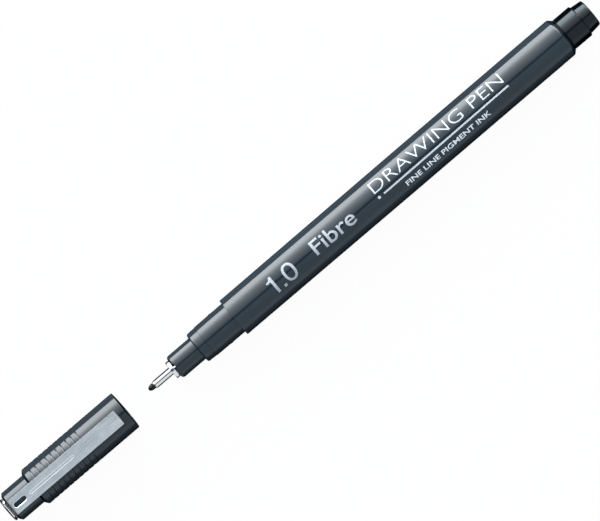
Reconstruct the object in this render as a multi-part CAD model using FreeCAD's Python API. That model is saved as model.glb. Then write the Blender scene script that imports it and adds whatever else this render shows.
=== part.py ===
# Technical pen: a disposable pigment fineliner with its cap off, in millimetres.
#
# The pen lies along X on the plane z = 0, point towards -X, and the cap lies in line ahead of
# the point, its mouth facing the pen and its clip on top. The origin is at the middle of the
# whole length, on that plane. Every turned piece is drawn as an outline of (x, radius) corners,
# with x counted from the very tip of the nib, and is revolved about the pen's axis. Cap pieces
# use the depth from the cap's mouth instead, which grows towards the closed end.

import FreeCAD, Part

import math
import os

# ---------------------------------------------------------------- driving dimensions
BARREL_R = 5.0            # tail half of the barrel, the largest radius of the pen
BARREL_FRONT_R = 4.89     # the barrel narrows to this at its front edge
BARREL_BORE_R = 3.9
BARREL_LENGTH = 97.2      # with the plug's shoulder, which carries the barrel's chamfer on
BARREL_CHAMFER = 0.88
SHOULDER = 0.4            # length of that shoulder

# lengths that show, from the tip backwards
NIB_SHOWS = 1.65
SLEEVE_SHOWS = 4.98
COLLAR_FLANGE = 0.88
NOSE_SHOWS = 6.74
SECTION_SHOWS = 10.65
TAIL_SPIGOT = 5.0         # the step that the cap is posted on, with its end chamfer
TAIL_TIP = 2.9

CAP_LENGTH = 34.6
CAP_GAP = 6.9             # from the cap's mouth to the nib while the cap is off
CAP_R = 4.915
CAP_BORE_R = 4.23
CAP_NECK_R = 3.87

# radii from the tip backwards
NIB_R = 0.725
SLEEVE_R = 0.95
SLEEVE_BORE_R = 0.735
COLLAR_R = 2.205
COLLAR_STUB_R = 1.5
NOSE_R = 3.0
NOSE_STUB_R = 2.6
NOSE_BORE_R = 1.9
SECTION_FRONT_R = 3.9
SECTION_R = 4.09
SNAP_BEAD_R = 4.165
SECTION_BORE_R = 3.3
TAIL_SPIGOT_R = 4.125
TAIL_TIP_R = 3.68
TAIL_END_R = 3.4
RESERVOIR_R = 3.3
FILM_R = 3.42

# ---------------------------------------------------------------- places along the pen
X_COLLAR = NIB_SHOWS + SLEEVE_SHOWS
X_NOSE = X_COLLAR + COLLAR_FLANGE
X_SECTION = X_NOSE + NOSE_SHOWS
X_BARREL = X_SECTION + SECTION_SHOWS
X_BARREL_END = X_BARREL + BARREL_LENGTH
X_TAIL_TIP = X_BARREL_END + TAIL_SPIGOT
X_TAIL_END = X_TAIL_TIP + TAIL_TIP

X_STUB_END = X_COLLAR + 3.9         # collar stub and sleeve end here, inside the nose
X_BUSH_END = X_STUB_END + 5.0
X_NIB_END = 19.0
X_NOSE_END = X_SECTION + 6.0
X_SECTION_END = X_BARREL + 9.2      # end of the spigot pressed into the barrel
X_RESERVOIR = X_SECTION_END + 1.4
X_RESERVOIR_END = X_BARREL_END - 9.0
X_WICK_END = X_RESERVOIR + 4.0
X_PLUG = X_BARREL_END - 7.8         # front rim of the tail plug, inside the barrel

TOTAL_LENGTH = CAP_LENGTH + CAP_GAP + X_TAIL_END
X_TIP = CAP_LENGTH + CAP_GAP - TOTAL_LENGTH / 2   # where the nib's tip is in the frame
AXIS_Z = BARREL_R                                 # the barrel's tail half touches z = 0


# ---------------------------------------------------------------- helpers
def rounded_wire(corners):
    """Closed wire in the XZ plane through (x, z) corners. A third value rounds that corner."""
    edges = []
    start = None
    last = None
    count = len(corners)
    for i in range(count):
        here = FreeCAD.Vector(corners[i][0], 0, corners[i][1])
        radius = corners[i][2] if len(corners[i]) > 2 else 0.0
        if radius > 0:
            before = FreeCAD.Vector(corners[i - 1][0], 0, corners[i - 1][1])
            after = FreeCAD.Vector(corners[(i + 1) % count][0], 0, corners[(i + 1) % count][1])
            to_before = (before - here).normalize()
            to_after = (after - here).normalize()
            half = to_before.getAngle(to_after) / 2
            arc_start = here + to_before * (radius / math.tan(half))
            arc_end = here + to_after * (radius / math.tan(half))
            bisector = (to_before + to_after).normalize()
            centre = here + bisector * (radius / math.sin(half))
            arc_middle = centre - bisector * radius
        else:
            arc_start = arc_end = here
        if last is not None and (arc_start - last).Length > 1e-7:
            edges.append(Part.LineSegment(last, arc_start).toShape())
        if radius > 0:
            edges.append(Part.Arc(arc_start, arc_middle, arc_end).toShape())
        if start is None:
            start = arc_start
        last = arc_end
    if (start - last).Length > 1e-7:
        edges.append(Part.LineSegment(last, start).toShape())
    return Part.Wire(edges)


def turned(corners):
    """Solid of revolution about the X axis from (x, radius[, rounding]) corners."""
    face = Part.Face(rounded_wire(corners))
    solid = face.revolve(FreeCAD.Vector(0, 0, 0), FreeCAD.Vector(1, 0, 0), 360)
    return Part.Solid(solid) if solid.ShapeType != "Solid" else solid


def tube(x0, x1, outer, inner):
    return turned([(x0, inner), (x0, outer), (x1, outer), (x1, inner)])


def rod(x0, x1, radius, y=0.0, z=0.0):
    return Part.makeCylinder(radius, x1 - x0, FreeCAD.Vector(x0, y, z), FreeCAD.Vector(1, 0, 0))


def block(x0, x1, y0, y1, z0, z1):
    return Part.makeBox(x1 - x0, y1 - y0, z1 - z0, FreeCAD.Vector(x0, y0, z0))


def stadium(x0, x1, width, z0, z1):
    """Upright block with half-round ends along X, centred on y = 0."""
    radius = width / 2
    body = block(x0 + radius, x1 - radius, -radius, radius, z0, z1)
    for x in (x0 + radius, x1 - radius):
        body = body.fuse(Part.makeCylinder(radius, z1 - z0, FreeCAD.Vector(x, 0, z0)))
    return body.removeSplitter()


def about_axis(shape, degrees):
    copy = shape.copy()
    copy.rotate(FreeCAD.Vector(0, 0, 0), FreeCAD.Vector(1, 0, 0), degrees)
    return copy


def depth(d):
    """x of a place d millimetres inside the cap's mouth."""
    return -CAP_GAP - d


def capped(corners):
    """Cap outline from (depth, radius[, rounding]) corners."""
    return [(depth(c[0]), *c[1:]) for c in corners]


# ---------------------------------------------------------------- writing point
def nib():
    """Fibre point, blunt at its tip, with a long stem that reaches back to the relay wick."""
    tip_r, nose_length = 0.36, 0.75
    return turned([(0, 0), (0, tip_r, 0.3), (nose_length, NIB_R, 0.9), (X_NIB_END, NIB_R, 0.1),
                   (X_NIB_END, 0)])


def nib_sleeve():
    """Drawn steel tube, its front edge rolled in."""
    return turned([
        (NIB_SHOWS, SLEEVE_BORE_R), (NIB_SHOWS, SLEEVE_R - 0.14, 0.05),
        (NIB_SHOWS + 0.32, SLEEVE_R, 0.2),
        (X_STUB_END, SLEEVE_R), (X_STUB_END, SLEEVE_BORE_R),
    ])


def nib_collar():
    """Turned metal flange with a stub that is pressed into the nose cone."""
    return turned([
        (X_COLLAR, SLEEVE_R), (X_COLLAR, COLLAR_R, 0.15), (X_NOSE, COLLAR_R, 0.1),
        (X_NOSE, COLLAR_STUB_R), (X_STUB_END, COLLAR_STUB_R), (X_STUB_END, SLEEVE_R),
    ])


def nib_bush():
    """Plastic bush that centres the stem, with four flutes that let air past it."""
    flutes = 4
    flute_width = 0.5
    flute_floor = 1.45
    body = tube(X_STUB_END, X_BUSH_END, NOSE_BORE_R, SLEEVE_BORE_R)
    flute = block(X_STUB_END - 1, X_BUSH_END + 1, -flute_width / 2, flute_width / 2,
                  flute_floor, NOSE_BORE_R + 1)
    for i in range(flutes):
        body = body.cut(about_axis(flute, 45 + i * 360 / flutes))
    return body


def relay_wick():
    """Fibre rod that carries ink from the reservoir to the stem held in its front hole."""
    x0 = X_BUSH_END + 0.1
    return turned([
        (x0, SLEEVE_BORE_R), (x0, COLLAR_STUB_R, 0.15), (X_WICK_END, COLLAR_STUB_R, 0.15),
        (X_WICK_END, 0), (X_NIB_END + 0.1, 0), (X_NIB_END + 0.1, SLEEVE_BORE_R),
    ])


# ---------------------------------------------------------------- front of the pen
def nose_cone():
    """Nose that holds the collar, with an air notch in its front rim."""
    notch_width = 0.95
    notch_depth = 0.63
    notch_side = 0.1
    body = turned([
        (X_NOSE, COLLAR_STUB_R), (X_NOSE, NOSE_R, 0.75), (X_SECTION, NOSE_R),
        (X_SECTION, NOSE_STUB_R), (X_NOSE_END, NOSE_STUB_R, 0.3), (X_NOSE_END, NOSE_BORE_R),
        (X_STUB_END, NOSE_BORE_R), (X_STUB_END, COLLAR_STUB_R),
    ])
    return body.cut(block(X_NOSE - 1, X_NOSE + notch_depth, notch_side,
                          notch_side + notch_width, 0.8, NOSE_R + 1))


def grip_section():
    """Front section: cap seat with a snap bead, and a spigot pressed into the barrel."""
    front_step = 2.44
    bead_at = 6.83
    bead_half = 0.55
    x_step = X_SECTION + front_step
    x_bead = X_SECTION + bead_at
    return turned([
        (X_SECTION, NOSE_STUB_R), (X_SECTION, SECTION_FRONT_R, 0.5),
        (x_step, SECTION_FRONT_R + 0.08), (x_step, SECTION_R - 0.04),
        (x_bead - bead_half, SECTION_R), (x_bead, SNAP_BEAD_R, 1.0), (x_bead + bead_half, SECTION_R),
        (X_BARREL, SECTION_R + 0.01), (X_BARREL, BARREL_BORE_R),
        (X_SECTION_END, BARREL_BORE_R, 0.3), (X_SECTION_END, SECTION_BORE_R),
        (X_NOSE_END + 0.3, SECTION_BORE_R), (X_NOSE_END + 0.3, NOSE_STUB_R),
    ])


# ---------------------------------------------------------------- ink store
def groove_place():
    """Distance of the breather's groove below the reservoir's axis."""
    return RESERVOIR_R - 0.35


def reservoir_core():
    """Fibre rod that holds the ink, with a hole for the wick and a groove for the breather."""
    core = turned([
        (X_RESERVOIR, COLLAR_STUB_R), (X_RESERVOIR, RESERVOIR_R),
        (X_RESERVOIR_END, RESERVOIR_R), (X_RESERVOIR_END, 0),
        (X_WICK_END + 0.1, 0), (X_WICK_END + 0.1, COLLAR_STUB_R),
    ])
    return core.cut(rod(X_RESERVOIR - 1, X_RESERVOIR_END + 1, 0.5, z=-groove_place()))


def reservoir_film():
    """Plastic wrapper round the fibre rod, open at both ends."""
    return tube(X_RESERVOIR - 0.3, X_RESERVOIR_END + 0.3, FILM_R, RESERVOIR_R)


def breather_tube():
    """Thin air tube that runs the whole length of the reservoir under its film."""
    z = -groove_place() + 0.1
    x0 = X_RESERVOIR - 0.9
    x1 = X_RESERVOIR_END + 0.9
    return rod(x0, x1, 0.4, z=z).cut(rod(x0 - 1, x1 + 1, 0.25, z=z))


# ---------------------------------------------------------------- barrel and tail
def barrel():
    """Main tube. Its front half tapers, its rear edge is chamfered, and four ribs inside keep the
    reservoir central."""
    ribs = 4
    rib_half = 0.3
    rib_top = FILM_R + 0.05
    x_parallel = X_BARREL + BARREL_LENGTH / 2
    shell = turned([
        (X_BARREL, BARREL_BORE_R), (X_BARREL, BARREL_FRONT_R, 0.08), (x_parallel, BARREL_R),
        (X_BARREL_END - BARREL_CHAMFER, BARREL_R, 0.5),
        (X_BARREL_END - SHOULDER, shoulder_r()), (X_BARREL_END - SHOULDER, BARREL_BORE_R),
    ])
    rib = block(X_SECTION_END + 2, X_PLUG - 1, -rib_half, rib_half, rib_top, BARREL_BORE_R + 0.2)
    for i in range(ribs):
        shell = shell.fuse(about_axis(rib, 45 + i * 360 / ribs))
    return shell.removeSplitter()


def shoulder_r():
    """Radius where the barrel's chamfer passes over to the plug's shoulder."""
    return BARREL_R - BARREL_CHAMFER + SHOULDER


def tail_plug():
    """Plug that closes the barrel: a sloped shoulder on the barrel's rear edge, and the stepped
    spigot that the cap is posted on."""
    bore_r = 2.8
    step_length = 0.26
    x_floor = X_TAIL_TIP + 0.5
    x_shoulder = X_BARREL_END - SHOULDER
    return turned([
        (X_PLUG, bore_r), (X_PLUG, BARREL_BORE_R, 0.3), (x_shoulder, BARREL_BORE_R),
        (x_shoulder, shoulder_r()), (X_BARREL_END, TAIL_SPIGOT_R, 0.5),
        (X_TAIL_TIP - step_length, TAIL_SPIGOT_R, 0.08),
        (X_TAIL_TIP, TAIL_TIP_R), (X_TAIL_END - 0.1, TAIL_END_R, 0.4), (X_TAIL_END, 0),
        (x_floor, 0), (x_floor, bore_r),
    ])


# ---------------------------------------------------------------- cap
CLIP_WIDTH = 3.8
CLIP_THICKNESS = 0.4
CLIP_TOP = 6.1                 # above the axis
CLIP_TOE = 1.7                 # depth of the clip's free end
CLIP_LEG = 34.1                # depth of the outer face of the leg, at the closed end
CLIP_SLANT = 40                # degrees of the slanted part between arm and leg
CLIP_SLANT_RUN = 1.32          # its length along the pen, corner to corner
CLIP_RING_R = 2.8              # ring at the foot of the leg, round the end plug's stem
SLOT_START = 29.1
SLOT_END = 32.3
SLOT_WIDTH = 1.2
NECK_START = 26.95
NECK_END = CLIP_LEG - CLIP_THICKNESS
NECK_BORE_R = 2.9
END_WALL_START = 32.0
CLIP_POCKET = 0.6              # depth of the pocket that lets the clip's ring swing
LINER_START = 11.3
LINER_END = 26.4
LINER_BORE_R = 3.05
LINER_SEAT_R = 3.95
LINER_GAP = 0.05               # all round the liner, in its seat in the cap
PLUG_HEAD_R = 2.94
STEM_R = 1.1


def cap_shell():
    """Cap body with grip rings, a narrower neck, and the saddle and lug that locate the clip."""
    rings = 10
    ring_pitch = 1.465
    first_ring = 11.6
    ring_half = 0.19
    ring_depth = 0.12
    shoulder = 0.62
    end_shoulder = 0.55
    end_rim_r = 3.22
    outline = [(0, CAP_BORE_R + 0.15), (0, CAP_R, 0.12)]
    for i in range(rings):
        at = first_ring + i * ring_pitch
        outline += [
            (at - ring_half, CAP_R), (at - ring_half / 2, CAP_R - ring_depth),
            (at + ring_half / 2, CAP_R - ring_depth), (at + ring_half, CAP_R),
        ]
    outline += [
        (NECK_START - shoulder, CAP_R, 0.3), (NECK_START, CAP_R - shoulder - 0.15),
        (NECK_START, CAP_NECK_R), (NECK_END - end_shoulder, CAP_NECK_R, 0.25), (NECK_END, end_rim_r),
        (NECK_END, STEM_R), (END_WALL_START, STEM_R), (END_WALL_START, NECK_BORE_R),
        (LINER_END + LINER_GAP, NECK_BORE_R), (LINER_END + LINER_GAP, LINER_SEAT_R + LINER_GAP),
        (LINER_START, LINER_SEAT_R + LINER_GAP), (LINER_START, CAP_BORE_R), (0.4, CAP_BORE_R),
    ]
    body = turned(capped(outline))
    return body.fuse([clip_saddle(), clip_lug()]).cut(clip_pocket()).removeSplitter()


def clip_saddle():
    """Flat-topped rib along the neck, just under the clip's arm."""
    half_width = 1.6
    under_clip = CLIP_TOP - CLIP_THICKNESS - 0.1
    return block(depth(NECK_END - 1.4), depth(NECK_START - 0.4), -half_width, half_width,
                 CAP_NECK_R - 0.6, under_clip)


def clip_lug():
    """Lug on the saddle that stands in the clip's slot."""
    gap = 0.15
    return stadium(depth(SLOT_END - gap), depth(SLOT_START + gap), SLOT_WIDTH - 2 * gap,
                   CAP_NECK_R, CLIP_TOP - gap)


def clip_pocket():
    """Recess in the closed end for the clip's ring, open at the top for its leg."""
    gap = 0.1
    x0 = depth(NECK_END + 1)
    x1 = depth(NECK_END - CLIP_POCKET)
    leg_way = block(x0, x1, -CLIP_WIDTH / 2 - gap, CLIP_WIDTH / 2 + gap, 0, CAP_R + 2)
    return rod(x0, x1, CLIP_RING_R + gap).fuse(leg_way)


def cap_liner():
    """Inner sealing cup that closes round the nose cone when the cap is on."""
    lip_r = 3.65
    wall_r = 3.75
    seat_length = 1.5
    floor = 0.9
    return turned(capped([
        (LINER_START, lip_r), (LINER_START, LINER_SEAT_R, 0.05),
        (LINER_START + seat_length, LINER_SEAT_R),
        (LINER_START + seat_length, wall_r), (LINER_END, wall_r, 0.5), (LINER_END, 0),
        (LINER_END - floor, 0), (LINER_END - floor, LINER_BORE_R, 0.6),
        (LINER_START + 0.9, LINER_BORE_R),
    ]))


def cap_end_plug():
    """Round plug that shuts the neck and traps the clip's ring under its head."""
    head = CLIP_LEG + 0.03
    stem_end = END_WALL_START - 0.5
    return turned(capped([
        (head, STEM_R), (head, PLUG_HEAD_R, 0.05), (CAP_LENGTH - 0.08, PLUG_HEAD_R, 0.3),
        (CAP_LENGTH, 0), (stem_end, 0), (stem_end, STEM_R, 0.25),
    ]))


def cap_clip():
    """Stamped steel clip: ring, leg, slanted bend, long arm with a slot and a pressed groove, and a
    toe."""
    groove_start = 14.75
    groove_end = 28.0
    groove_width = 0.75
    groove_depth = 0.06
    toe_gap = 0.07
    stem_clearance = 0.2
    half_width = CLIP_WIDTH / 2
    under = CLIP_TOP - CLIP_THICKNESS
    leg_inner = CLIP_LEG - CLIP_THICKNESS
    leg_foot = 1.5
    slant = math.radians(CLIP_SLANT)
    corner = CLIP_TOP - CLIP_SLANT_RUN * math.tan(slant)
    inner_corner = corner - CLIP_THICKNESS * math.tan((math.pi / 2 - slant) / 2)
    inner_run = CLIP_SLANT_RUN + CLIP_THICKNESS * math.tan(slant / 2)
    profile = capped([
        (CLIP_LEG, leg_foot), (CLIP_LEG, corner, 0.9), (CLIP_LEG - CLIP_SLANT_RUN, CLIP_TOP, 1.3),
        (CLIP_TOE, CLIP_TOP, 0.5), (CLIP_TOE, CAP_R + toe_gap),
        (CLIP_TOE + CLIP_THICKNESS, CAP_R + toe_gap), (CLIP_TOE + CLIP_THICKNESS, under, 0.1),
        (CLIP_LEG - inner_run, under, 0.9), (leg_inner, inner_corner, 0.5), (leg_inner, leg_foot),
    ])
    strip = Part.Face(rounded_wire(profile)).extrude(FreeCAD.Vector(0, CLIP_WIDTH, 0))
    strip.translate(FreeCAD.Vector(0, -half_width, 0))
    ring = rod(depth(CLIP_LEG), depth(leg_inner), CLIP_RING_R)
    hole = rod(depth(CLIP_LEG) - 1, depth(leg_inner) + 1, STEM_R + stem_clearance)
    slot = stadium(depth(SLOT_END), depth(SLOT_START), SLOT_WIDTH, under - 1, CLIP_TOP + 1)
    groove = stadium(depth(groove_end), depth(groove_start), groove_width,
                     CLIP_TOP - groove_depth, CLIP_TOP + 1)
    return strip.fuse(ring).cut([hole, slot, groove]).removeSplitter()


# ---------------------------------------------------------------- export
PIECES = {
    "nib": nib,
    "nib_sleeve": nib_sleeve,
    "nib_collar": nib_collar,
    "nib_bush": nib_bush,
    "relay_wick": relay_wick,
    "nose_cone": nose_cone,
    "grip_section": grip_section,
    "barrel": barrel,
    "reservoir_core": reservoir_core,
    "reservoir_film": reservoir_film,
    "breather_tube": breather_tube,
    "tail_plug": tail_plug,
    "cap_shell": cap_shell,
    "cap_liner": cap_liner,
    "cap_end_plug": cap_end_plug,
    "cap_clip": cap_clip,
}


def main():
    os.makedirs("parts", exist_ok=True)
    for name, make in PIECES.items():
        shape = make()
        shape.translate(FreeCAD.Vector(X_TIP, 0, AXIS_Z))
        solids = shape.Solids
        if len(solids) == 1:
            shape = solids[0]
        shape.exportStep(f"parts/{name}.step")
        box = shape.BoundBox
        print(f"{name:16s} solids {len(solids)} valid {shape.isValid()} "
              f"x {box.XMin:.2f} {box.XMax:.2f}  z {box.ZMin:.2f} {box.ZMax:.2f}  "
              f"{shape.Volume:.1f} mm3")


main()
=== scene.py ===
import math

import bmesh
import bpy
from mathutils import Matrix, Vector


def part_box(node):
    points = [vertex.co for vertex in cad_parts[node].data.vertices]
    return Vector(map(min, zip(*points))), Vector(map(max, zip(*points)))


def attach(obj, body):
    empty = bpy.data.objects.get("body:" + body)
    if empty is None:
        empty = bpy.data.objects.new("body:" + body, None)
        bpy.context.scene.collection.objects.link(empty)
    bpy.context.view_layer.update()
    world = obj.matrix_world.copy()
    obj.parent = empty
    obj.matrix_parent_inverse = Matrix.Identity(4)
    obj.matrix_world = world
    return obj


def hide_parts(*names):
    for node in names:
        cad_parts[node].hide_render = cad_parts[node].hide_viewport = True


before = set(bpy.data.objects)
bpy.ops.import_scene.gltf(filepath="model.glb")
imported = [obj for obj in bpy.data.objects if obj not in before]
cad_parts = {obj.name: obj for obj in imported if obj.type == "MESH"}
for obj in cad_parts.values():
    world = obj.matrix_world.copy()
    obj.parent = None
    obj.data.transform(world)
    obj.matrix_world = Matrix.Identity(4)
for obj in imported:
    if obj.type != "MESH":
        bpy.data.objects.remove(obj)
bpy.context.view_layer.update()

# Lengths are in millimetres until a mesh is made. Turned pieces are drawn as (x, radius[, rounding])
# corners and spun about the pen's axis, which runs along X.
MM = 0.001
SEGMENTS = 128
WORN_BELOW = 0.6                                 # roundings smaller than this get worn


def ends(node):
    """Lowest and highest x of a CAD node, in millimetres."""
    low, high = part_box(node)
    return low.x / MM, high.x / MM


AXIS_Z = 5.0 * MM
TIP, NIB_END = ends("nib")
SLEEVE, STUB_END = ends("nib_sleeve")
COLLAR = ends("nib_collar")[0]
NOSE, NOSE_END = ends("nose_cone")
SECTION, SECTION_END = ends("grip_section")
BARREL, BARREL_END = ends("barrel")
PLUG, TAIL_END = ends("tail_plug")
NECK_END, MOUTH = ends("cap_shell")
CAP_END = ends("cap_end_plug")[0]
CLIP_LEG = ends("cap_clip")[0]
LINER_END, LINER_START = ends("cap_liner")

BARREL_R = 4.998
BARREL_FRONT_R = 4.89
BARREL_PARALLEL = BARREL + 48.6                  # the taper ends here
CHAMFER = 0.88
SPIGOT = BARREL_END + 0.4                        # end of the plug's sloped shoulder
SHOULDER_R = BARREL_R - CHAMFER + 0.4
BORE_R = 3.9
CAP_R = 4.915
CAP_BORE_R = 4.23
NECK_R = 3.87


# ------------------------------------------------------------------------------------ meshes
def outline(corners, steps=6, guard=0.1):
    """Points (x, r, wear) round a closed outline. Corners with a third value are rounded. Wear is 1
    on a small rounding and 0 elsewhere, with a point close to each end of the rounding to hold it."""
    points = []
    count = len(corners)
    for i in range(count):
        here = Vector(corners[i][:2])
        rounding = corners[i][2] if len(corners[i]) > 2 else 0.0
        if rounding <= 0:
            points.append((here.x, here.y, 0.0))
            continue
        before = Vector(corners[i - 1][:2]) - here
        after = Vector(corners[(i + 1) % count][:2]) - here
        half = before.angle(after) / 2
        reach = rounding / math.tan(half)
        middle = (before.normalized() + after.normalized()).normalized()
        centre = here + middle * rounding / math.sin(half)
        start = here + before.normalized() * reach - centre
        end = here + after.normalized() * reach - centre
        turn = start.angle_signed(end)
        if before.length > reach + 2.5 * guard:
            points.append((*(here + before.normalized() * (reach + guard)), 0.0))
        for k in range(steps + 1):
            spot = centre + Matrix.Rotation(-turn * k / steps, 2) @ start
            points.append((spot.x, spot.y, 1.0 if rounding < WORN_BELOW else 0.0))
        if after.length > reach + 2.5 * guard:
            points.append((*(here + after.normalized() * (reach + guard)), 0.0))
    return points


def outward(mesh):
    """Turns every face outwards."""
    bm = bmesh.new()
    bm.from_mesh(mesh)
    bmesh.ops.recalc_face_normals(bm, faces=bm.faces)
    bm.to_mesh(mesh)
    bm.free()


def new_object(name, mesh, sharp=35):
    """Object whose own origin is on the pen's axis."""
    mesh.shade_smooth()
    mesh.set_sharp_from_angle(angle=math.radians(sharp))
    obj = bpy.data.objects.new(name, mesh)
    obj.location = (0, 0, AXIS_Z)
    bpy.context.scene.collection.objects.link(obj)
    return obj


def solid(name, verts, faces, wear_and_shade=None):
    """Closed object from its points and faces, with a wear attribute on its points if given."""
    mesh = bpy.data.meshes.new(name)
    mesh.from_pydata(verts, [], faces)
    if wear_and_shade:
        mesh.attributes.new("wear_and_shade", "FLOAT", "POINT").data.foreach_set("value", wear_and_shade)
    outward(mesh)
    return new_object(name, mesh)


def lathe(name, corners, segments=SEGMENTS, steps=6):
    """Closed solid of revolution with a wear attribute on its rounded edges."""
    points = outline(corners, steps)
    verts, wear_and_shade, rings = [], [], []
    for x, r, w in points:
        if r < 1e-6:
            rings.append([len(verts)])
            verts.append((x * MM, 0, 0))
            wear_and_shade.append(w)
            continue
        rings.append(list(range(len(verts), len(verts) + segments)))
        for k in range(segments):
            a = 2 * math.pi * (k + 0.5) / segments
            verts.append((x * MM, r * MM * math.sin(a), r * MM * math.cos(a)))
            wear_and_shade.append(w)
    faces = []
    for i, ring in enumerate(rings):
        other = rings[(i + 1) % len(rings)]
        if len(ring) == 1 and len(other) == 1:
            continue
        for k in range(segments):
            n = (k + 1) % segments
            face = [ring[k % len(ring)], other[k % len(other)],
                    other[n % len(other)], ring[n % len(ring)]]
            faces.append(list(dict.fromkeys(face)))
    return solid(name, verts, faces, wear_and_shade)


def loft(name, low_path, high_path, low, high, plane):
    """Solid between two flat outlines with as many points, at two heights. The outlines are in the
    XY plane and the heights along Z, or in YZ and along X."""
    place = {"xy": lambda u, v, h: (u, v, h), "yz": lambda u, v, h: (h, u, v)}[plane]
    count = len(low_path)
    verts = [Vector(place(u, v, h)) * MM
             for h, path in ((low, low_path), (high, high_path)) for u, v in path]
    faces = [list(range(count)), list(range(count, 2 * count))]
    faces += [[i, (i + 1) % count, count + (i + 1) % count, count + i] for i in range(count)]
    return solid(name, verts, faces)


def prism(name, path, low, high, plane):
    """Solid made by pushing a closed flat outline between two heights."""
    return loft(name, path, path, low, high, plane)


def rounded(corners, steps=8):
    """Flat outline with its corners rounded."""
    return [(u, v) for u, v, _ in outline(corners, steps, guard=1e9)]


def stadium(x0, x1, width, steps=12):
    """Outline in XY of a slot with half-round ends."""
    r = width / 2
    right = [(x1 - r + r * math.cos(a), r * math.sin(a))
             for a in (math.pi * (k / steps - 0.5) for k in range(steps + 1))]
    left = [(x0 + r - r * math.cos(a), -r * math.sin(a))
            for a in (math.pi * (k / steps - 0.5) for k in range(steps + 1))]
    return right + left


def circle(radius, count=64):
    """Round outline about the origin."""
    return [(radius * math.sin(2 * math.pi * k / count), radius * math.cos(2 * math.pi * k / count))
            for k in range(count)]


def combine(obj, tool, operation):
    """Boolean of obj with tool, which is then removed."""
    modifier = obj.modifiers.new("combine", "BOOLEAN")
    modifier.object = tool
    modifier.operation = operation
    modifier.solver = "EXACT"
    settle(obj)
    bpy.data.objects.remove(tool)


def settle(obj):
    """Applies obj's modifiers."""
    bpy.context.view_layer.update()
    graph = bpy.context.evaluated_depsgraph_get()
    mesh = bpy.data.meshes.new_from_object(obj.evaluated_get(graph), preserve_all_data_layers=True,
                                           depsgraph=graph)
    obj.modifiers.clear()
    old = obj.data
    obj.data = mesh
    bpy.data.meshes.remove(old)


def soften(obj, width, segments=3, angle=30):
    """Small bevel on every edge sharper than the angle."""
    modifier = obj.modifiers.new("soften", "BEVEL")
    modifier.width = width * MM
    modifier.segments = segments
    modifier.limit_method = "ANGLE"
    modifier.angle_limit = math.radians(angle)
    modifier.use_clamp_overlap = True
    settle(obj)
    obj.data.set_sharp_from_angle(angle=math.radians(50))


def finish_piece(obj, material, body, slot, *nodes):
    """Gives a piece its material, the body that it moves with and the CAD nodes that it replaces."""
    obj.data.name = obj.name
    obj.data.materials.clear()
    obj.data.materials.append(material)
    weighted = obj.modifiers.new("weighted_normals", "WEIGHTED_NORMAL")
    weighted.keep_sharp = True
    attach(obj, body)
    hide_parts(*nodes)


# --------------------------------------------------------------------------------- materials
class Nodes:
    """Short way to build the nodes of a material or of the world."""

    def __init__(self, owner):
        owner.use_nodes = True
        self.tree = owner.node_tree
        self.tree.nodes.clear()

    def add(self, kind):
        return self.tree.nodes.new(kind)

    def link(self, a, b):
        """Feeds a, which is a number or an output, into the socket b."""
        if isinstance(a, (int, float)):
            b.default_value = a
        else:
            self.tree.links.new(a, b)

    def remap(self, value, low, high, to_low=0.0, to_high=1.0):
        """Smooth step from to_low, at low and under, to to_high, at high and over."""
        node = self.add("ShaderNodeMapRange")
        node.interpolation_type = "SMOOTHSTEP"
        for key, v in (("From Min", low), ("From Max", high), ("To Min", to_low), ("To Max", to_high)):
            node.inputs[key].default_value = v
        self.link(value, node.inputs["Value"])
        return node.outputs["Result"]

    def math(self, operation, *values):
        node = self.add("ShaderNodeMath")
        node.operation = operation
        for socket, value in zip(node.inputs, values):
            self.link(value, socket)
        return node.outputs[0]


class Shader(Nodes):
    """A material's nodes. Lengths in its textures are in metres."""

    def __init__(self, name):
        self.material = bpy.data.materials.new(name)
        super().__init__(self.material)
        output = self.add("ShaderNodeOutputMaterial")
        self.bsdf = self.add("ShaderNodeBsdfPrincipled")
        self.link(self.bsdf.outputs[0], output.inputs["Surface"])
        self.place = self.add("ShaderNodeTexCoord").outputs["Object"]

    def set(self, **values):
        """Sets the surface's own sockets."""
        for key, value in values.items():
            self.bsdf.inputs[key.replace("_", " ")].default_value = value

    def use(self, **outputs):
        """Feeds outputs into the surface's sockets."""
        for key, value in outputs.items():
            self.link(value, self.bsdf.inputs[key.replace("_", " ")])

    def noise(self, scale, detail=2.0, roughness=0.5, stretch=(1, 1, 1)):
        mapping = self.add("ShaderNodeMapping")
        mapping.inputs["Scale"].default_value = [scale * s for s in stretch]
        self.link(self.place, mapping.inputs["Vector"])
        node = self.add("ShaderNodeTexNoise")
        node.inputs["Scale"].default_value = 1.0
        node.inputs["Detail"].default_value = detail
        node.inputs["Roughness"].default_value = roughness
        self.link(mapping.outputs[0], node.inputs["Vector"])
        return node.outputs["Fac"]

    def wear_and_shade(self):
        """1 on the edges that get rubbed, and on the clip's edges, which carry a painted shade, and 0
        elsewhere.
        """
        node = self.add("ShaderNodeAttribute")
        node.attribute_name = "wear_and_shade"
        return node.outputs["Fac"]

    def mix(self, factor, a, b):
        """Colour between a and b, each a colour or an output."""
        node = self.add("ShaderNodeMix")
        node.data_type = "RGBA"
        self.link(factor, node.inputs["Factor"])
        for socket, value in ((node.inputs[6], a), (node.inputs[7], b)):
            if isinstance(value, (tuple, list)):
                socket.default_value = (*value, 1.0)
            else:
                self.link(value, socket)
        return node.outputs[2]

    def bump(self, *layers):
        """Adds bumps, each (height output, strength, distance in millimetres)."""
        normal = None
        for height, strength, distance in layers:
            node = self.add("ShaderNodeBump")
            node.inputs["Strength"].default_value = strength
            node.inputs["Distance"].default_value = distance * MM
            self.link(height, node.inputs["Height"])
            if normal is not None:
                self.link(normal, node.inputs["Normal"])
            normal = node.outputs["Normal"]
        self.link(normal, self.bsdf.inputs["Normal"])


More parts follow.
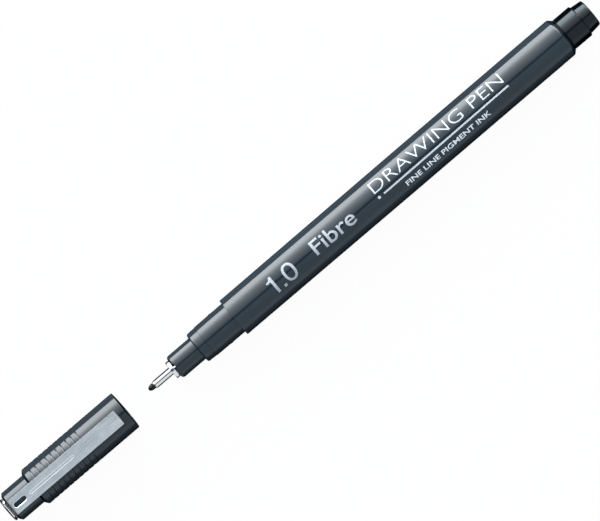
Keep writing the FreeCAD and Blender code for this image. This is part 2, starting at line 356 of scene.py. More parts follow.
def moulded(name, colour, rough, worn=1.9, gloss=0.5, cast=(1, 1, 1)):
    """Moulded plastic: faint flow marks, fine skin, handling scratches and rubbed, paler edges."""
    s = Shader(name)
    flow = s.noise(260, 3.0, 0.55, (0.35, 1, 1))
    skin = s.noise(5200)
    scratches = s.remap(s.noise(2600, 3.0, 0.6, (0.04, 1, 1)), 0.63, 0.70)
    cross = s.remap(s.noise(2100, stretch=(1, 0.07, 0.07)), 0.68, 0.74)
    marks = s.math("MAXIMUM", scratches, cross)
    specks = s.remap(s.noise(9000, 1.0, 0.4), 0.70, 0.78)
    darker = tuple(c * 0.88 for c in colour)
    lighter = tuple(c * 1.12 for c in colour)
    base = s.mix(s.remap(flow, 0.3, 0.7), darker, lighter)
    pale = tuple(min(1.0, c * worn + 0.004) for c in colour)
    rubbed = s.math("MULTIPLY", s.wear_and_shade(), s.remap(s.noise(900, 3.0, 0.6), 0.35, 0.75, 0.25, 1.0))
    base = s.mix(s.math("MULTIPLY", rubbed, 0.55), base, pale)
    base = s.mix(s.math("MULTIPLY", specks, 0.25), base, pale)
    roughness = s.remap(flow, 0.25, 0.75, rough * 0.9, rough * 1.12)
    roughness = s.math("ADD", roughness, s.math("MULTIPLY", marks, 0.05))
    roughness = s.math("ADD", roughness, s.math("MULTIPLY", rubbed, 0.06))
    s.use(Base_Color=base, Roughness=roughness)
    s.set(Specular_IOR_Level=gloss, Specular_Tint=(*cast, 1))
    s.bump((skin, 0.05, 0.02), (s.noise(700), 0.04, 0.08), (marks, 0.04, -0.01))
    return s.material


def metal(name, colour, rough, along, fine=4200, line=0.06, rim=0.3, edge=1.12):
    """Bare metal with fine tool lines. along is the direction in which the lines run, as the
    stretch of their texture. rim is how bright it stays where it curves away, and edge is how
    bright its edges are: over 1 where rubbed, under 1 painted dark as shade to dim their shine."""
    s = Shader(name)
    lines = s.noise(fine, 3.0, 0.65, along)
    broad = s.noise(fine * 0.18, 2.0, 0.5, along)
    cloud = s.noise(420, 3.0, 0.6)
    darker = tuple(c * 0.93 for c in colour)
    grain = s.math("ADD", s.math("MULTIPLY", lines, 0.6), s.math("MULTIPLY", broad, 0.4))
    base = s.mix(s.remap(grain, 0.35, 0.65), darker, colour)
    # edges paler where rubbed; with edge under 1, painted shade that darkens the edges' shine
    base = s.mix(s.wear_and_shade(), base, tuple(min(1.0, c * edge) for c in colour))
    roughness = s.math("ADD", s.remap(lines, 0.3, 0.7, rough * 0.85, rough * 1.1),
                       s.remap(cloud, 0.35, 0.7, 0.0, 0.04))
    if edge > 1:
        polish = s.math("MULTIPLY", s.wear_and_shade(), 0.6)
        roughness = s.math("MULTIPLY", roughness, s.math("SUBTRACT", 1.0, polish))
    s.use(Base_Color=base, Roughness=roughness)
    s.set(Metallic=1.0, Specular_Tint=(rim, rim, rim, 1))
    s.bump((lines, line, 0.01), (broad, line * 0.7, 0.03))
    return s.material


def fibre(name, colour, rough=0.75, gloss=0.35, along=(0.06, 1, 1), scale=7000):
    """Bonded fibres that run along the pen."""
    s = Shader(name)
    strands = s.noise(scale, 3.0, 0.6, along)
    patches = s.noise(900, 2.0, 0.5)
    dark = tuple(c * 0.55 for c in colour)
    base = s.mix(s.remap(strands, 0.35, 0.65), dark, colour)
    base = s.mix(s.remap(patches, 0.55, 0.8, 0.0, 0.35), base, tuple(c * 1.5 for c in colour))
    s.use(Base_Color=base, Roughness=s.remap(strands, 0.3, 0.7, rough * 0.85, min(1.0, rough * 1.15)))
    s.set(Specular_IOR_Level=gloss)
    s.bump((strands, 0.35, 0.02), (patches, 0.1, 0.03))
    return s.material


def clear_film(name):
    """Thin milky wrapper with faint lengthwise folds."""
    s = Shader(name)
    folds = s.noise(1500, 2.0, 0.5, (0.03, 1, 1))
    s.use(Base_Color=s.mix(s.remap(folds, 0.3, 0.7), (0.74, 0.75, 0.76), (0.86, 0.87, 0.88)),
          Roughness=s.remap(folds, 0.3, 0.7, 0.18, 0.32))
    s.bump((folds, 0.25, 0.03))
    return s.material


def ink_print(name, colour):
    """Screen-printed ink: a little uneven in cover, with pinholes and a soft sheen."""
    s = Shader(name)
    cover = s.noise(2400, 3.0, 0.6)
    pinholes = s.remap(s.noise(7000, 2.0, 0.5), 0.70, 0.76)
    thin = tuple(c * 0.86 for c in colour)
    base = s.mix(s.remap(cover, 0.35, 0.6), thin, colour)
    base = s.mix(s.math("MULTIPLY", pinholes, 0.5), base, tuple(c * 0.55 for c in colour))
    s.use(Base_Color=base, Roughness=s.remap(cover, 0.3, 0.7, 0.42, 0.6))
    s.set(Specular_IOR_Level=0.35)
    s.bump((cover, 0.12, 0.01))
    return s.material


BARREL_PLASTIC = moulded("barrel_plastic", (0.0045, 0.0112, 0.0172), 0.09)
CAP_PLASTIC = moulded("cap_plastic", (0.0032, 0.0084, 0.0130), 0.09, gloss=0.48)
SECTION_PLASTIC = moulded("section_plastic", (0.0042, 0.0104, 0.0160), 0.10)
TAIL_PLASTIC = moulded("tail_plastic", (0.0005, 0.0012, 0.0018), 0.12, worn=1.4, gloss=0.34,
                       cast=(0.82, 0.93, 1.0))
LINER_PLASTIC = moulded("liner_plastic", (0.018, 0.024, 0.030), 0.45)
INNER_PLASTIC = moulded("inner_plastic", (0.62, 0.62, 0.58), 0.4, worn=1.1)
ROUND_LINES = (1, 0.05, 0.05)
STEEL_TUBE = metal("steel_tube", (0.86, 0.88, 0.90), 0.08, ROUND_LINES, rim=0.0)
COLLAR_METAL = metal("turned_collar", (0.81, 0.83, 0.85), 0.14, ROUND_LINES, 5200, rim=0.0)
# the clip's edge roundings are painted at a fifth of its colour: painted shade that dims their shine
CLIP_STEEL = metal("clip_steel", (0.86, 0.86, 0.87), 0.22, (0.03, 1, 1), 5200, 0.05, rim=0.8,
                   edge=0.2)
NIB_FIBRE = fibre("fibre_point", (0.0012, 0.0016, 0.0022), 0.32, gloss=0.24)
INK_FIBRE = fibre("ink_fibre", (0.05, 0.05, 0.06))
FILM = clear_film("clear_film")
PRINT_WHITE = ink_print("print_white", (0.46, 0.49, 0.52))
PRINT_BRIGHT = ink_print("print_bright", (0.78, 0.82, 0.86))
PRINT_GREY = ink_print("print_grey", (0.34, 0.365, 0.39))


# ------------------------------------------------------------------------- point and section
def make_point():
    nib_r = 0.725
    sleeve_r = 0.95
    sleeve_bore = 0.735
    collar_r = 2.205
    stub_r = 1.5
    nose_length = 1.15
    dome = [(TIP + nose_length * (1 - math.cos(a)), nib_r * math.sin(a))
            for a in (math.radians(9 * k) for k in range(11))]
    nib = lathe("nib_point", [*dome, (NIB_END, nib_r, 0.1), (NIB_END, 0)], 64)
    finish_piece(nib, NIB_FIBRE, "pen", "fibre_point", "nib")
    sleeve = lathe("steel_sleeve", [
        (SLEEVE, sleeve_bore, 0.03), (SLEEVE, sleeve_r - 0.14, 0.05),
        (SLEEVE + 0.32, sleeve_r, 0.2), (STUB_END, sleeve_r), (STUB_END, sleeve_bore),
    ], 96)
    finish_piece(sleeve, STEEL_TUBE, "pen", "steel_tube", "nib_sleeve")
    collar = lathe("point_collar", [
        (COLLAR, sleeve_r), (COLLAR, sleeve_r + 0.3), (COLLAR + 0.06, sleeve_r + 0.36, 0.03),
        (COLLAR + 0.06, collar_r - 0.3, 0.03), (COLLAR, collar_r - 0.22, 0.03),
        (COLLAR, collar_r, 0.15), (NOSE, collar_r, 0.1),
        (NOSE, stub_r), (STUB_END, stub_r), (STUB_END, sleeve_r),
    ], 96)
    finish_piece(collar, COLLAR_METAL, "pen", "turned_collar", "nib_collar")


def make_nose():
    nose_r = 3.0
    stub_r = 2.6
    bore_r = 1.9
    collar_stub_r = 1.5
    notch_side, notch_width, notch_depth = 0.1, 0.95, 0.55
    nose = lathe("nose", [
        (NOSE, collar_stub_r), (NOSE, nose_r, 0.75), (SECTION, nose_r), (SECTION, stub_r),
        (NOSE_END, stub_r, 0.3), (NOSE_END, bore_r), (STUB_END, bore_r), (STUB_END, collar_stub_r),
    ], steps=10)
    notch = prism("notch", rounded([
        (NOSE - 1, notch_side), (NOSE + notch_depth, notch_side, 0.12),
        (NOSE + notch_depth, notch_side + notch_width, 0.12), (NOSE - 1, notch_side + notch_width),
    ]), 0.8, nose_r + 1, "xy")
    combine(nose, notch, "DIFFERENCE")
    finish_piece(nose, SECTION_PLASTIC, "pen", "section_plastic", "nose_cone")


def make_section():
    front_r, back_r, bead_r = 3.9, 4.09, 4.165
    bore_r, stub_r = 3.3, 2.6
    step = SECTION + 2.44
    bead = SECTION + 6.83
    section = lathe("section", [
        (SECTION, stub_r), (SECTION, front_r, 0.5), (step - 0.06, front_r + 0.08),
        (step, front_r + 0.055), (step + 0.06, back_r - 0.04, 0.03),
        (bead - 0.55, back_r), (bead, bead_r, 1.0), (bead + 0.55, back_r),
        (BARREL - 0.06, back_r + 0.01), (BARREL - 0.06, BORE_R), (SECTION_END, BORE_R, 0.3),
        (SECTION_END, bore_r), (NOSE_END + 0.3, bore_r), (NOSE_END + 0.3, stub_r),
    ])
    finish_piece(section, SECTION_PLASTIC, "pen", "section_plastic", "grip_section")


# ---------------------------------------------------------------------------- barrel and tail
def make_barrel():
    barrel = lathe("barrel_tube", [
        (BARREL, BORE_R), (BARREL, BARREL_FRONT_R, 0.08), (BARREL_PARALLEL, BARREL_R),
        (SPIGOT - CHAMFER, BARREL_R, 0.9), (BARREL_END, SHOULDER_R, 0.03), (BARREL_END, BORE_R),
    ], 160, steps=10)
    finish_piece(barrel, BARREL_PLASTIC, "pen", "barrel_plastic", "barrel")


def make_tail():
    spigot_r, tip_r, end_r, bore_r = 4.125, 3.68, 3.4, 2.8
    tip = SPIGOT + 5.0
    plug = lathe("tail_end", [
        (PLUG, bore_r), (PLUG, BORE_R - 0.02, 0.3), (BARREL_END + 0.02, BORE_R - 0.02),
        (BARREL_END + 0.02, SHOULDER_R - 0.02, 0.02), (SPIGOT + 0.12, spigot_r - 0.12, 0.04),
        (SPIGOT + 0.25, spigot_r, 0.04),
        (tip - 0.26, spigot_r, 0.08), (tip, tip_r + 0.02, 0.05), (tip + 0.12, tip_r),
        (TAIL_END - 0.1, end_r, 0.4), (TAIL_END, 0), (tip + 0.5, 0), (tip + 0.5, bore_r),
    ])
    finish_piece(plug, TAIL_PLASTIC, "pen", "tail_plastic", "tail_plug")


def barrel_radius(x):
    """Outside radius of the barrel, which tapers towards its front."""
    share = min(1.0, max(0.0, (x - BARREL) / (BARREL_PARALLEL - BARREL)))
    return BARREL_FRONT_R + (BARREL_R - BARREL_FRONT_R) * share


def wrap_print(name, bm, material):
    """Raises a flat XY print in millimetres and wraps it round the barrel. X runs along the pen and
    Y round it, counted from the top line towards +Y. The lines of print lean very slightly."""
    sunk, raised, step = -0.012, 0.012, 0.2
    lean, level_at = 0.008, BARREL + 42
    made = bmesh.ops.extrude_face_region(bm, geom=bm.faces[:], use_keep_orig=True)
    for v in made["geom"]:
        if isinstance(v, bmesh.types.BMVert):
            v.co.z = 1.0
    low = min(v.co.y for v in bm.verts)
    high = max(v.co.y for v in bm.verts)
    for k in range(int(math.floor(low / step)) + 1, int(math.ceil(high / step))):
        bmesh.ops.bisect_plane(bm, geom=bm.verts[:] + bm.edges[:] + bm.faces[:],
                               plane_co=(0, k * step, 0), plane_no=(0, 1, 0))
    for v in bm.verts:
        r = barrel_radius(v.co.x)
        a = (v.co.y + lean * (v.co.x - level_at)) / r
        r += raised if v.co.z > 0.5 else sunk
        v.co = Vector((v.co.x, r * math.sin(a), r * math.cos(a))) * MM
    bmesh.ops.recalc_face_normals(bm, faces=bm.faces)
    mesh = bpy.data.meshes.new(name)
    bm.to_mesh(mesh)
    bm.free()
    obj = new_object(name, mesh)
    obj.data.materials.append(material)
    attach(obj, "pen")


def words(text, x0, x1, y0, y1, weight=0.0):
    """Flat letters that fill the box given, as a bmesh."""
    curve = bpy.data.curves.new("letters", "FONT")
    curve.body = text
    curve.offset = weight
    curve.resolution_u = 6
    obj = bpy.data.objects.new("letters", curve)
    bpy.context.scene.collection.objects.link(obj)
    bpy.context.view_layer.update()
    graph = bpy.context.evaluated_depsgraph_get()
    mesh = bpy.data.meshes.new_from_object(obj.evaluated_get(graph), depsgraph=graph)
    bm = bmesh.new()
    bm.from_mesh(mesh)
    bpy.data.objects.remove(obj)
    bpy.data.meshes.remove(mesh)
    bmesh.ops.remove_doubles(bm, verts=bm.verts, dist=1e-5)
    low = Vector([min(v.co[i] for v in bm.verts) for i in range(3)])
    high = Vector([max(v.co[i] for v in bm.verts) for i in range(3)])
    for v in bm.verts:
        v.co.x = x0 + (v.co.x - low.x) / (high.x - low.x) * (x1 - x0)
        v.co.y = y0 + (v.co.y - low.y) / (high.y - low.y) * (y1 - y0)
        v.co.z = 0.0
    return bm


def rule(x0, x1, y, width, pieces=40):
    """Flat line as a bmesh, cut into pieces so that it follows the barrel's taper."""
    bm = bmesh.new()
    corners = [(x0, y - width / 2), (x1, y - width / 2), (x1, y + width / 2), (x0, y + width / 2)]
    bm.faces.new([bm.verts.new((x, v, 0)) for x, v in corners])
    for k in range(1, pieces):
        bmesh.ops.bisect_plane(bm, geom=bm.verts[:] + bm.edges[:] + bm.faces[:],
                               plane_co=(x0 + (x1 - x0) * k / pieces, 0, 0), plane_no=(1, 0, 0))
    return bm


def numerals(x0, y0, scale):
    """Flat "1.0" as a bmesh: a stem with a flag, a square dot and an oval ring."""
    bm = bmesh.new()

    def place(points):
        return [bm.verts.new((x0 + u * scale, y0 + v * scale, 0)) for u, v in points]

    bm.faces.new(place([
        (8.0, 19.0), (8.0, 0), (5.1, 0), (5.1, 13.7), (0.4, 13.7), (0.4, 15.5), (2.2, 15.7),
        (3.9, 16.2), (4.9, 17.2), (5.6, 19.0),
    ]))
    bm.faces.new(place([(13.7, 0), (16.8, 0), (16.8, 2.8), (13.7, 2.8)]))
    centre, count, squareness = (26.4, 9.5), 72, 0.86

    def oval(half_width, half_height):
        points = []
        for k in range(count):
            c, d = (math.copysign(abs(w) ** squareness, w)
                    for w in (math.sin(2 * math.pi * k / count), math.cos(2 * math.pi * k / count)))
            points.append((centre[0] + half_width * c, centre[1] + half_height * d))
        return place(points)

    outer, inner = oval(7.0, 9.7), oval(4.3, 7.3)
    for k in range(count):
        n = (k + 1) % count
        bm.faces.new([outer[k], outer[n], inner[n], inner[k]])
    return bm


def dot(x, y, radius):
    """Flat round dot as a bmesh."""
    bm = bmesh.new()
    bm.faces.new([bm.verts.new((x + radius * u, y + radius * v, 0)) for u, v in circle(1.0, 24)])
    return bm


def make_print():
    size = numerals(BARREL + 10.3, -2.0, 0.2235)
    kind = words("Fibre", BARREL + 23.3, BARREL + 35.2, -1.4, 2.2, 0.006)
    title = words("DRAWING PEN", BARREL + 41.8, BARREL + 79.9, 0.62, 3.58, -0.017)
    small = words("FINE LINE PIGMENT INK", BARREL + 48.7, BARREL + 73.2, -3.04, -1.78, 0.015)
    wrap_print("print_size", size, PRINT_GREY)
    wrap_print("print_kind", kind, PRINT_GREY)
    wrap_print("print_words", title, PRINT_WHITE)
    wrap_print("print_dot", dot(BARREL + 42.15, -0.55, 0.35), PRINT_WHITE)
    wrap_print("print_rule", rule(BARREL + 43.5, BARREL + 80.1, -0.57, 0.4), PRINT_WHITE)
    wrap_print("print_small", small, PRINT_BRIGHT)


# ----------------------------------------------------------------------------------------- cap
CLIP_TOP = 6.1
SHEET = 0.4
CLIP_WIDTH = 3.8
RING_R = 2.8
STEM_R = 1.1
NECK_BORE_R = 2.9
NECK_START = MOUTH - 26.95
LINER_BACK = LINER_END - 0.05                    # end of the liner's seat in the cap
SLOT = (MOUTH - 32.35, MOUTH - 29.05, 1.2)
SLOT_FLARE = (0.11, 0.063)                       # width and depth of the slot's broken edge


def make_cap():
    rings, pitch, first = 10, 1.465, 11.6
    half, deep = 0.19, 0.12
    shoulder, end_shoulder, end_rim_r = 0.62, 0.55, 3.22
    seat_r = 4.0
    wall = MOUTH - 32.0
    corners = [(MOUTH, CAP_BORE_R + 0.1, 0.03), (MOUTH, CAP_R, 0.12)]
    for i in range(rings):
        at = MOUTH - first - i * pitch
        corners += [(at + half, CAP_R, 0.02), (at, CAP_R - deep, 0.06), (at - half, CAP_R, 0.02)]
    corners += [
        (NECK_START + shoulder, CAP_R, 0.3), (NECK_START, CAP_R - shoulder - 0.15, 0.05),
        (NECK_START, NECK_R, 0.04), (NECK_END + end_shoulder, NECK_R, 0.25),
        (NECK_END, end_rim_r, 0.04), (NECK_END, STEM_R), (wall, STEM_R), (wall, NECK_BORE_R),
        (LINER_BACK, NECK_BORE_R), (LINER_BACK, seat_r), (LINER_START, seat_r),
        (LINER_START, CAP_BORE_R), (MOUTH - 0.12, CAP_BORE_R),
    ]
    shell = lathe("cap_body", corners, steps=4)
    saddle_half, saddle_foot, saddle_top = 1.6, NECK_R - 0.6, CLIP_TOP - SHEET - 0.1
    saddle = prism("saddle", [
        (-saddle_half, saddle_foot), (-saddle_half, saddle_top), (saddle_half, saddle_top),
        (saddle_half, saddle_foot),
    ], NECK_END + 1.4, NECK_START + 0.4, "yz")
    combine(shell, saddle, "UNION")
    gap = 0.15
    lug_outline = stadium(SLOT[0] + gap, SLOT[1] - gap, SLOT[2] - 2 * gap)
    lug = prism("lug", lug_outline, NECK_R, CLIP_TOP - gap, "xy")
    soften(lug, 0.08)
    combine(shell, lug, "UNION")
    pocket_floor, side, above = NECK_END + 0.6, CLIP_WIDTH / 2 + 0.1, CAP_R + 2
    pocket = prism("pocket", circle(RING_R + 0.1, 96), NECK_END - 1, pocket_floor, "yz")
    combine(shell, pocket, "DIFFERENCE")
    leg_way = prism("leg_way", [(-side, 0), (-side, above), (side, above), (side, 0)],
                    NECK_END - 1, pocket_floor - 0.001, "yz")
    combine(shell, leg_way, "DIFFERENCE")
    finish_piece(shell, CAP_PLASTIC, "cap", "cap_plastic", "cap_shell")


def make_liner():
    lip_r, collar_r, body_r, bore_r = 3.65, 3.95, 3.75, 3.05
    collar, lip, floor = LINER_START - 1.5, LINER_START - 0.9, LINER_END + 0.9
    liner = lathe("sealing_liner", [
        (LINER_START, lip_r, 0.05), (LINER_START, collar_r, 0.05), (collar, collar_r, 0.04),
        (collar, body_r), (LINER_END, body_r, 0.5), (LINER_END, 0), (floor, 0),
        (floor, bore_r, 0.6), (lip, bore_r, 0.1),
    ])
    finish_piece(liner, LINER_PLASTIC, "liner", "liner_plastic", "cap_liner")


def make_end_plug():
    head_r = 2.94
    head = MOUTH - 34.13
    stem_end = MOUTH - 31.5
    plug = lathe("cap_end_disc", [
        (head, STEM_R), (head, head_r, 0.05), (CAP_END + 0.06, head_r, 0.18), (CAP_END, 0),
        (stem_end, 0), (stem_end, STEM_R, 0.25),
    ], 96)
    finish_piece(plug, TAIL_PLASTIC, "cap", "tail_plastic", "cap_end_plug")


def clip_path():
    """Outer line of the clip seen from the side, from the leg's foot to the toe, as points (x, z,
    facing x, facing z) with the direction that the outer face looks in."""
    bend, toe_bend = 1.63, 0.5
    toe, toe_foot = MOUTH - 1.7, CAP_R + 0.07
    first, last = CLIP_LEG + bend, toe - toe_bend
    steps, count = 12, 460
    points = [(CLIP_LEG, z, -1, 0) for z in (1.5, 2.4, 3.2, 4.0)]
    lower, upper, slant = 0.9, 1.3, math.radians(40)
    rise = (bend - upper * math.tan(slant / 2)) * math.tan(slant)
    start = CLIP_TOP - rise - lower * math.tan((math.pi / 2 - slant) / 2)
    for k in range(steps + 1):
        a = (math.pi / 2 - slant) * k / steps
        points.append((CLIP_LEG + lower * (1 - math.cos(a)), start + lower * math.sin(a),
                       -math.cos(a), math.sin(a)))
    for k in range(steps + 1):
        a = slant * (1 - k / steps)
        points.append((first - upper * math.sin(a), CLIP_TOP - upper * (1 - math.cos(a)),
                       -math.sin(a), math.cos(a)))
    points += [(first + (last - first) * k / count, CLIP_TOP, 0, 1) for k in range(1, count)]
    for k in range(steps + 1):
        a = math.pi / 2 * k / steps
        points.append((last + toe_bend * math.sin(a), CLIP_TOP - toe_bend * (1 - math.cos(a)),
                       math.sin(a), math.cos(a)))
    points += [(toe, toe_foot + 0.03, 1, 0), (toe, toe_foot, 1, 0)]
    return points


def clip_section(half, edge):
    """Closed cross-section of the sheet as (across, depth below the outer face)."""
    cells, steps, under = 90, 6, 0.05
    outer = [(-half + edge + 2 * (half - edge) * k / cells, 0.0) for k in range(cells + 1)]
    side = []
    for k in range(1, steps):
        a = math.pi / 2 * k / steps
        side.append((half - edge * (1 - math.sin(a)), edge * (1 - math.cos(a))))
    side += [(half, edge), (half, SHEET - under), (half - under, SHEET)]
    inner = [(half * share, SHEET) for share in (0.7, 0.35, 0.0, -0.35, -0.7)]
    return outer + side + inner + [(-across, below) for across, below in reversed(side)]


def slot_flare():
    """Cutter that breaks the slot's upper edge, twice as high as the cut that it leaves."""
    (x0, x1, width), (flare, deep) = SLOT, SLOT_FLARE
    wide = stadium(x0 - 2 * flare, x1 + 2 * flare, width + 4 * flare)
    return loft("slot_flare", stadium(*SLOT), wide, CLIP_TOP - deep, CLIP_TOP + deep, "xy")


def pressed(x, y):
    """Depth pressed into the clip's top at a place: a long shallow groove with pointed ends."""
    start, end = MOUTH - 28.1, MOUTH - 14.7
    half, wall, point, deep = 0.37, 0.16, 0.8, 0.021
    inside = min(x - start, end - x)
    if inside <= 0:
        return 0.0
    width = half * min(1.0, 0.15 + inside / point)
    share = min(1.0, max(0.0, (width - abs(y)) / wall))
    return deep * share * share * (3 - 2 * share) * min(1.0, inside / 0.3)


def make_clip():
    half, edge = CLIP_WIDTH / 2, 0.05
    path, section = clip_path(), clip_section(half, edge)
    verts, faces, wear_and_shade = [], [], []
    for x, z, fx, fz in path:
        level = fz == 1 and fx == 0
        for across, below in section:
            fade = max(0.0, 1 - below / SHEET)
            sink = below + (pressed(x, across) * fade if level else 0.0)
            verts.append(Vector((x - fx * sink, across, z - fz * sink)) * MM)
            # the clip's side roundings get the painted shade of its edges
            wear_and_shade.append(1.0 if abs(across) > half - 0.9 * edge else 0.0)
    count = len(section)
    for i in range(len(path) - 1):
        for k in range(count):
            n = (k + 1) % count
            faces.append([i * count + k, i * count + n, (i + 1) * count + n, (i + 1) * count + k])
    faces.append(list(range(count)))
    faces.append([(len(path) - 1) * count + k for k in range(count)])
    strip = solid("clip", verts, faces, wear_and_shade)
    ring = prism("ring", circle(RING_R, 96), CLIP_LEG, CLIP_LEG + SHEET, "yz")
    soften(ring, 0.05)
    combine(strip, ring, "UNION")
    hole = prism("hole", circle(STEM_R + 0.2), CLIP_LEG - 1, CLIP_LEG + 1, "yz")
    slot = prism("slot", stadium(*SLOT), CLIP_TOP - SHEET - 1, CLIP_TOP + 1, "xy")
    for cut in (hole, slot, slot_flare()):
        combine(strip, cut, "DIFFERENCE")
    strip.data.set_sharp_from_angle(angle=math.radians(25))
    finish_piece(strip, CLIP_STEEL, "clip", "clip_steel", "cap_clip")


make_point()
make_nose()
make_section()
make_barrel()
make_tail()
make_print()
make_cap()
make_liner()
make_end_plug()
make_clip()

for node, material in {
    "nib_bush": INNER_PLASTIC, "relay_wick": INK_FIBRE, "reservoir_core": INK_FIBRE,
    "reservoir_film": FILM, "breather_tube": INNER_PLASTIC,
}.items():
    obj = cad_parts[node]
    obj.data.materials.clear()
    obj.data.materials.append(material)


# -------------------------------------------------------------------------------------- studio
def set_stage(name, mesh, unseen_by):
    """Object that isn't part of the pen, and the kinds of light ray that pass it by."""
    obj = bpy.data.objects.new(name, mesh)
    bpy.context.scene.collection.objects.link(obj)
    for way in unseen_by:
        setattr(obj, f"visible_{way}", False)


def make_floor():
    size = 2.5
    mesh = bpy.data.meshes.new("floor")
    mesh.from_pydata([(-size, -size, 0), (size, -size, 0), (size, size, 0), (-size, size, 0)], [],
                     [(0, 1, 2, 3)])
    s = Shader("paper")
    grain = s.noise(900, 3.0, 0.6)
    s.use(Base_Color=s.mix(s.remap(grain, 0.3, 0.7), (0.018, 0.018, 0.018), (0.022, 0.022, 0.022)))
    s.set(Roughness=0.9, Specular_IOR_Level=0.0, Emission_Color=(1, 1, 1, 1), Emission_Strength=0.965)
    mesh.materials.append(s.material)
    set_stage("floor", mesh, ("glossy", "diffuse"))


def card(name, level, x0, x1, radius, start, end):
    """Curved paper card round the pen's axis that only reflections see. level is its brightness, and
    start and end are in degrees from overhead, + towards the back."""
    count = 24
    verts = []
    for k in range(count + 1):
        a = math.radians(start + (end - start) * k / count)
        verts += [(x * MM, radius * MM * math.sin(a), AXIS_Z + radius * MM * math.cos(a))
                  for x in (x0, x1)]
    mesh = bpy.data.meshes.new(name)
    mesh.from_pydata(verts, [], [(2 * k, 2 * k + 1, 2 * k + 3, 2 * k + 2) for k in range(count)])
    s = Shader(name)
    s.set(Base_Color=(0, 0, 0, 1), Roughness=1.0, Specular_IOR_Level=0.0,
          Emission_Color=(0.97, 1.0, 1.02, 1), Emission_Strength=level)
    mesh.materials.append(s.material)
    set_stage(name, mesh, ("camera", "diffuse", "transmission", "volume_scatter", "shadow"))


def make_cards():
    """Cards that shape the shine of the polished point and of the black tail: white on both sides of
    the point with a dark gap overhead, and dark below the height of the table's far edges."""
    radius, tail_radius = 4.0, 12.0
    gap_front, gap_back = -10, 13
    places = (("sleeve", SLEEVE - 0.6, COLLAR - 0.05, 80), ("collar", COLLAR - 0.05, NOSE - 0.15, 93))
    for name, x0, x1, low in places:
        card(f"card_back_{name}", 1.2, x0, x1, radius, gap_back, low)
        card(f"card_front_{name}", 0.84, x0, x1, radius, -low, gap_front)
        card(f"card_gap_{name}", 0.05, x0, x1, radius, gap_front, gap_back)
        card(f"card_under_{name}", 0.0, x0, x1, radius, low, 360 - low)
    card("card_tail", 0.0, SPIGOT + 0.4, TAIL_END + 2, tail_radius, 84, 276)


# Light round the pen's axis as (degrees from overhead, + towards the back, brightness).
STUDIO = [
    (-180, 0.02), (-136, 0.02), (-111, 0.16), (-99, 0.28), (-88, 0.90), (-82, 1.00), (-70, 1.00),
    (-61, 0.86), (-21, 0.86), (-13, 0.90), (-8, 0.90), (-2.9, 0.36), (-0.3, 0.12), (2.3, 0.12),
    (5, 0.45), (8, 0.95), (10, 1.22), (23, 1.85), (37, 2.70), (48, 3.90), (57, 5.70), (67, 8.80),
    (76, 10.4), (92, 9.40), (97, 9.10), (99, 0.55), (112, 0.60), (123, 0.33), (133, 0.45),
    (141, 0.30), (150, 0.08), (180, 0.02),
]
FRONT_TINT = (0.90, 1.06, 1.19)
BACK_TINT = (0.95, 1.00, 1.035)


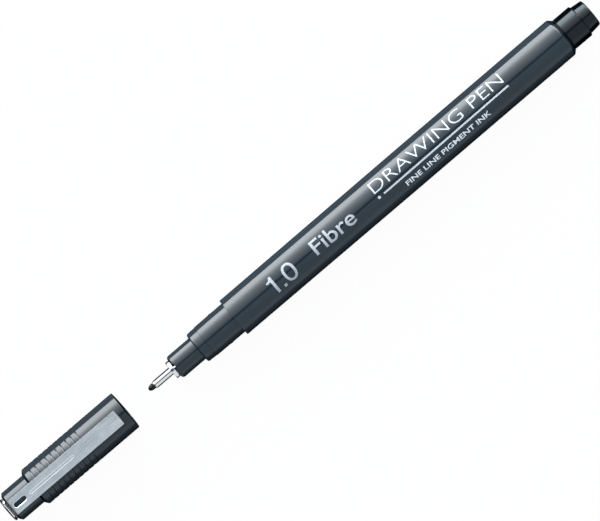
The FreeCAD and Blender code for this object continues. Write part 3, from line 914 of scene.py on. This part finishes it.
def make_world():
    """Soft studio light that changes only across the pen: a bright low side behind it, an even front
    side, a dim strip overhead, and darker below the table's edge."""
    world = bpy.data.worlds.new("studio")
    bpy.context.scene.world = world
    n = Nodes(world)
    output = n.add("ShaderNodeOutputWorld")
    background = n.add("ShaderNodeBackground")
    split = n.add("ShaderNodeSeparateXYZ")
    n.link(background.outputs[0], output.inputs[0])
    n.link(n.add("ShaderNodeTexCoord").outputs["Generated"], split.inputs[0])
    along, across, height = split.outputs["X"], split.outputs["Y"], split.outputs["Z"]

    ramp = n.add("ShaderNodeValToRGB")
    ramp.color_ramp.interpolation = "LINEAR"
    turn = n.math("MULTIPLY_ADD", n.math("ARCTAN2", across, height), 0.5 / math.pi, 0.5)
    n.link(turn, ramp.inputs["Fac"])
    top = max(level for _, level in STUDIO)
    stops = ramp.color_ramp.elements
    stops.remove(stops[-1])
    for k, (degrees, level) in enumerate(STUDIO):
        stop = stops.new(0.5 + degrees / 360) if k else stops[0]
        stop.position = 0.5 + degrees / 360
        tint = FRONT_TINT if degrees < 0 else BACK_TINT
        stop.color = (*(level / top * channel for channel in tint), 1)

    # the light stands in a wide band across the pen and ends before the pen's own two directions
    towards_cap = n.math("MULTIPLY", along, -1)
    band = n.math("MINIMUM", n.remap(along, 0.88, 1.0, 1.0, 0.03),
                  n.remap(towards_cap, 0.35, 0.9, 1.0, 0.03))
    lit = n.add("ShaderNodeVectorMath")
    lit.operation = "SCALE"
    n.link(ramp.outputs["Color"], lit.inputs[0])
    n.link(n.math("MULTIPLY", band, top), lit.inputs["Scale"])

    # a patch of bright table beyond the cap, which the bend of the clip reflects
    below = n.math("MULTIPLY", height, -1)
    patch = n.math("MULTIPLY", n.remap(below, 0.05, 0.15, 0.0, 1.9), n.remap(below, 0.42, 0.6, 1.0, 0.0))
    for edge in (n.remap(n.math("ABSOLUTE", across), 0.12, 0.25, 1.0, 0.0),
                 n.remap(towards_cap, 0.2, 0.4)):
        patch = n.math("MULTIPLY", patch, edge)
    total = n.add("ShaderNodeVectorMath")
    total.operation = "ADD"
    n.link(lit.outputs[0], total.inputs[0])
    n.link(patch, total.inputs[1])
    n.link(total.outputs[0], background.inputs["Color"])


def make_backdrop():
    """Pale dome that only the camera sees, behind the table's edge in low views."""
    bm = bmesh.new()
    bmesh.ops.create_uvsphere(bm, u_segments=48, v_segments=24, radius=2.4)
    mesh = bpy.data.meshes.new("backdrop")
    bm.to_mesh(mesh)
    bm.free()
    material = bpy.data.materials.new("backdrop")
    n = Nodes(material)
    output = n.add("ShaderNodeOutputMaterial")
    glow = n.add("ShaderNodeEmission")
    glow.inputs["Color"].default_value = (0.90, 0.91, 0.92, 1)
    n.link(glow.outputs[0], output.inputs[0])
    mesh.materials.append(material)
    set_stage("backdrop", mesh, ("diffuse", "glossy", "transmission", "volume_scatter", "shadow"))


def make_camera():
    """Long lens from above, leaning a little towards +Y, with the pen rising to the right."""
    lens, sensor, view_width = 270.0, 36.0, 134.1
    aim = Vector((0.24 * MM, 0.035 * MM, AXIS_Z))
    slope = math.radians(40.53)
    lean = math.radians(2.6)
    away = Vector((0, math.sin(lean), math.cos(lean)))
    along = Vector((1, 0, 0))
    across = away.cross(along)
    right = math.cos(slope) * along - math.sin(slope) * across
    up = math.sin(slope) * along + math.cos(slope) * across
    data = bpy.data.cameras.new("camera")
    data.lens = lens
    data.sensor_width = sensor
    data.clip_start = 0.01
    data.clip_end = 20
    camera = bpy.data.objects.new("camera", data)
    distance = view_width * MM * lens / sensor
    turn = Matrix((right, up, away)).transposed().to_4x4()
    camera.matrix_world = Matrix.Translation(aim + away * distance) @ turn
    bpy.context.scene.collection.objects.link(camera)
    bpy.context.scene.camera = camera


make_floor()
make_backdrop()
make_cards()
make_world()
make_camera()
bpy.context.scene.view_settings.view_transform = "Standard"
